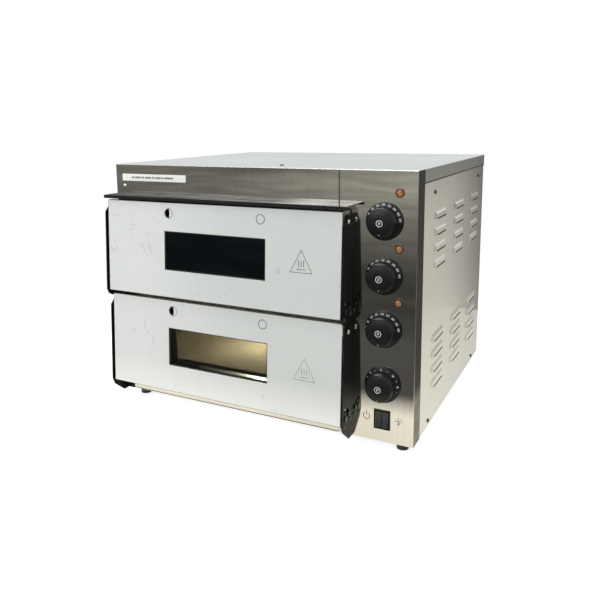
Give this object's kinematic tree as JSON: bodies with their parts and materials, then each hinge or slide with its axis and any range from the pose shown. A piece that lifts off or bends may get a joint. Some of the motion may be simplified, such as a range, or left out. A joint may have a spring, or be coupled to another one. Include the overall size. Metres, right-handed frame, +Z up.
{
  "type": "countertop pizza oven",
  "caption": "Electric double-deck countertop pizza oven: stacked stone-hearth chambers behind drop-down glazed doors, with rotary dials and rockers on a side panel.",
  "frame": {"origin": "centre of the footprint, on the surface that the feet stand on", "axes": "+Z up, -Y towards the person who uses it, +X to that person's right, where the controls are"},
  "size_m": [0.5642, 0.5404, 0.4418],
  "materials": {
    "brushed_casing": "vertically brushed stainless sheet",
    "satin_casing": "satin stainless sheet",
    "cover_steel": "pale satin stainless sheet",
    "galvanised": "galvanised steel sheet",
    "lip_steel": "brushed stainless with a dark front edge",
    "black_steel": "gloss black enamel",
    "door_steel": "stainless skin under a pale protective film",
    "inner_steel": "bright steel pressing",
    "chamber_steel": "aluminised steel, dulled by heat",
    "heating_tube": "oxidised heating tube",
    "hearth_stone": "fine grained refractory stone",
    "fibre_board": "rigid mineral fibre",
    "ceramic": "matt ceramic",
    "lamp_glass": "heat resistant glass",
    "door_glass": "tempered glass",
    "gasket_rubber": "black silicone",
    "pin_steel": "turned steel",
    "screw_steel": "bright steel",
    "rubber": "black rubber",
    "knob_plastic": "satin black moulding",
    "shaft_steel": "turned steel",
    "control_body": "moulded control body",
    "indicator_rim": "dark orange moulding",
    "indicator_amber": "amber lens",
    "switch_plastic": "black moulding",
    "rocker_plastic": "black moulding",
    "gland_plastic": "black nylon"
  },
  "bodies": {
    "root": {"base_pan": "galvanised", "rear_panel": "satin_casing", "left_side_panel": "satin_casing", "right_side_panel": "satin_casing", "top_cover": "cover_steel", "front_frame": "brushed_casing", "control_panel": "brushed_casing", "front_lip": "lip_steel", "control_partition": "galvanised", "feet": "rubber", "insulation_boards": "fibre_board", "case_screws": "screw_steel", "plate_screws": "screw_steel", "chamber_lamp_holders": "ceramic", "chamber_lamp_lenses": "lamp_glass", "lower_chamber_liner": "chamber_steel", "lower_hearth_stone": "hearth_stone", "lower_bottom_element": "heating_tube", "lower_top_element": "heating_tube", "lower_left_hinge_plate": "black_steel", "lower_right_hinge_plate": "black_steel", "upper_chamber_liner": "chamber_steel", "upper_hearth_stone": "hearth_stone", "upper_bottom_element": "heating_tube", "upper_top_element": "heating_tube", "upper_left_hinge_plate": "black_steel", "upper_right_hinge_plate": "black_steel", "thermostat_1": "control_body", "thermostat_2": "control_body", "thermostat_3": "control_body", "timer": "control_body", "indicator_body_1": "indicator_rim", "indicator_body_2": "indicator_rim", "indicator_body_3": "indicator_rim", "indicator_lens_1": "indicator_amber", "indicator_lens_2": "indicator_amber", "indicator_lens_3": "indicator_amber", "switch_housing": "switch_plastic", "cable_gland": "gland_plastic", "terminal_block": "ceramic"},
    "lower_door": {"lower_door_skin": "door_steel", "lower_door_inner_panel": "inner_steel", "lower_door_gasket": "gasket_rubber", "lower_door_glass": "door_glass", "lower_door_pins": "pin_steel"},
    "upper_door": {"upper_door_skin": "door_steel", "upper_door_inner_panel": "inner_steel", "upper_door_gasket": "gasket_rubber", "upper_door_glass": "door_glass", "upper_door_pins": "pin_steel"},
    "dial_1": {"control_knob_1": "knob_plastic", "control_shaft_1": "shaft_steel"},
    "dial_2": {"control_knob_2": "knob_plastic", "control_shaft_2": "shaft_steel"},
    "dial_3": {"control_knob_3": "knob_plastic", "control_shaft_3": "shaft_steel"},
    "dial_4": {"control_knob_4": "knob_plastic", "control_shaft_4": "shaft_steel"},
    "power_switch": {"power_rocker": "rocker_plastic"},
    "lamp_switch": {"lamp_rocker": "rocker_plastic"}
  },
  "joints": [
    {"name": "lower_door_hinge", "type": "hinge", "parent": "root", "child": "lower_door", "pos_m": [-0.04965, -0.25585, 0.0544], "axis": [1, 0, 0], "range_deg": [0, 90]},
    {"name": "upper_door_hinge", "type": "hinge", "parent": "root", "child": "upper_door", "pos_m": [-0.04965, -0.25585, 0.2254], "axis": [1, 0, 0], "range_deg": [0, 90]},
    {"name": "dial_1_turn", "type": "hinge", "parent": "root", "child": "dial_1", "pos_m": [0.22965, -0.22885, 0.3642], "axis": [0, 1, 0], "range_deg": [0, 270]},
    {"name": "dial_2_turn", "type": "hinge", "parent": "root", "child": "dial_2", "pos_m": [0.22965, -0.22885, 0.2813], "axis": [0, 1, 0], "range_deg": [0, 270]},
    {"name": "dial_3_turn", "type": "hinge", "parent": "root", "child": "dial_3", "pos_m": [0.22965, -0.22885, 0.1984], "axis": [0, 1, 0], "range_deg": [0, 270]},
    {"name": "dial_4_turn", "type": "hinge", "parent": "root", "child": "dial_4", "pos_m": [0.22965, -0.22885, 0.1101], "axis": [0, 1, 0], "range_deg": [0, 300]},
    {"name": "power_switch_rock", "type": "hinge", "parent": "root", "child": "power_switch", "pos_m": [0.22365, -0.22485, 0.0524], "axis": [1, 0, 0], "range_deg": [0, 16]},
    {"name": "lamp_switch_rock", "type": "hinge", "parent": "root", "child": "lamp_switch", "pos_m": [0.23485, -0.22485, 0.0524], "axis": [1, 0, 0], "range_deg": [0, 16]}
  ]
}
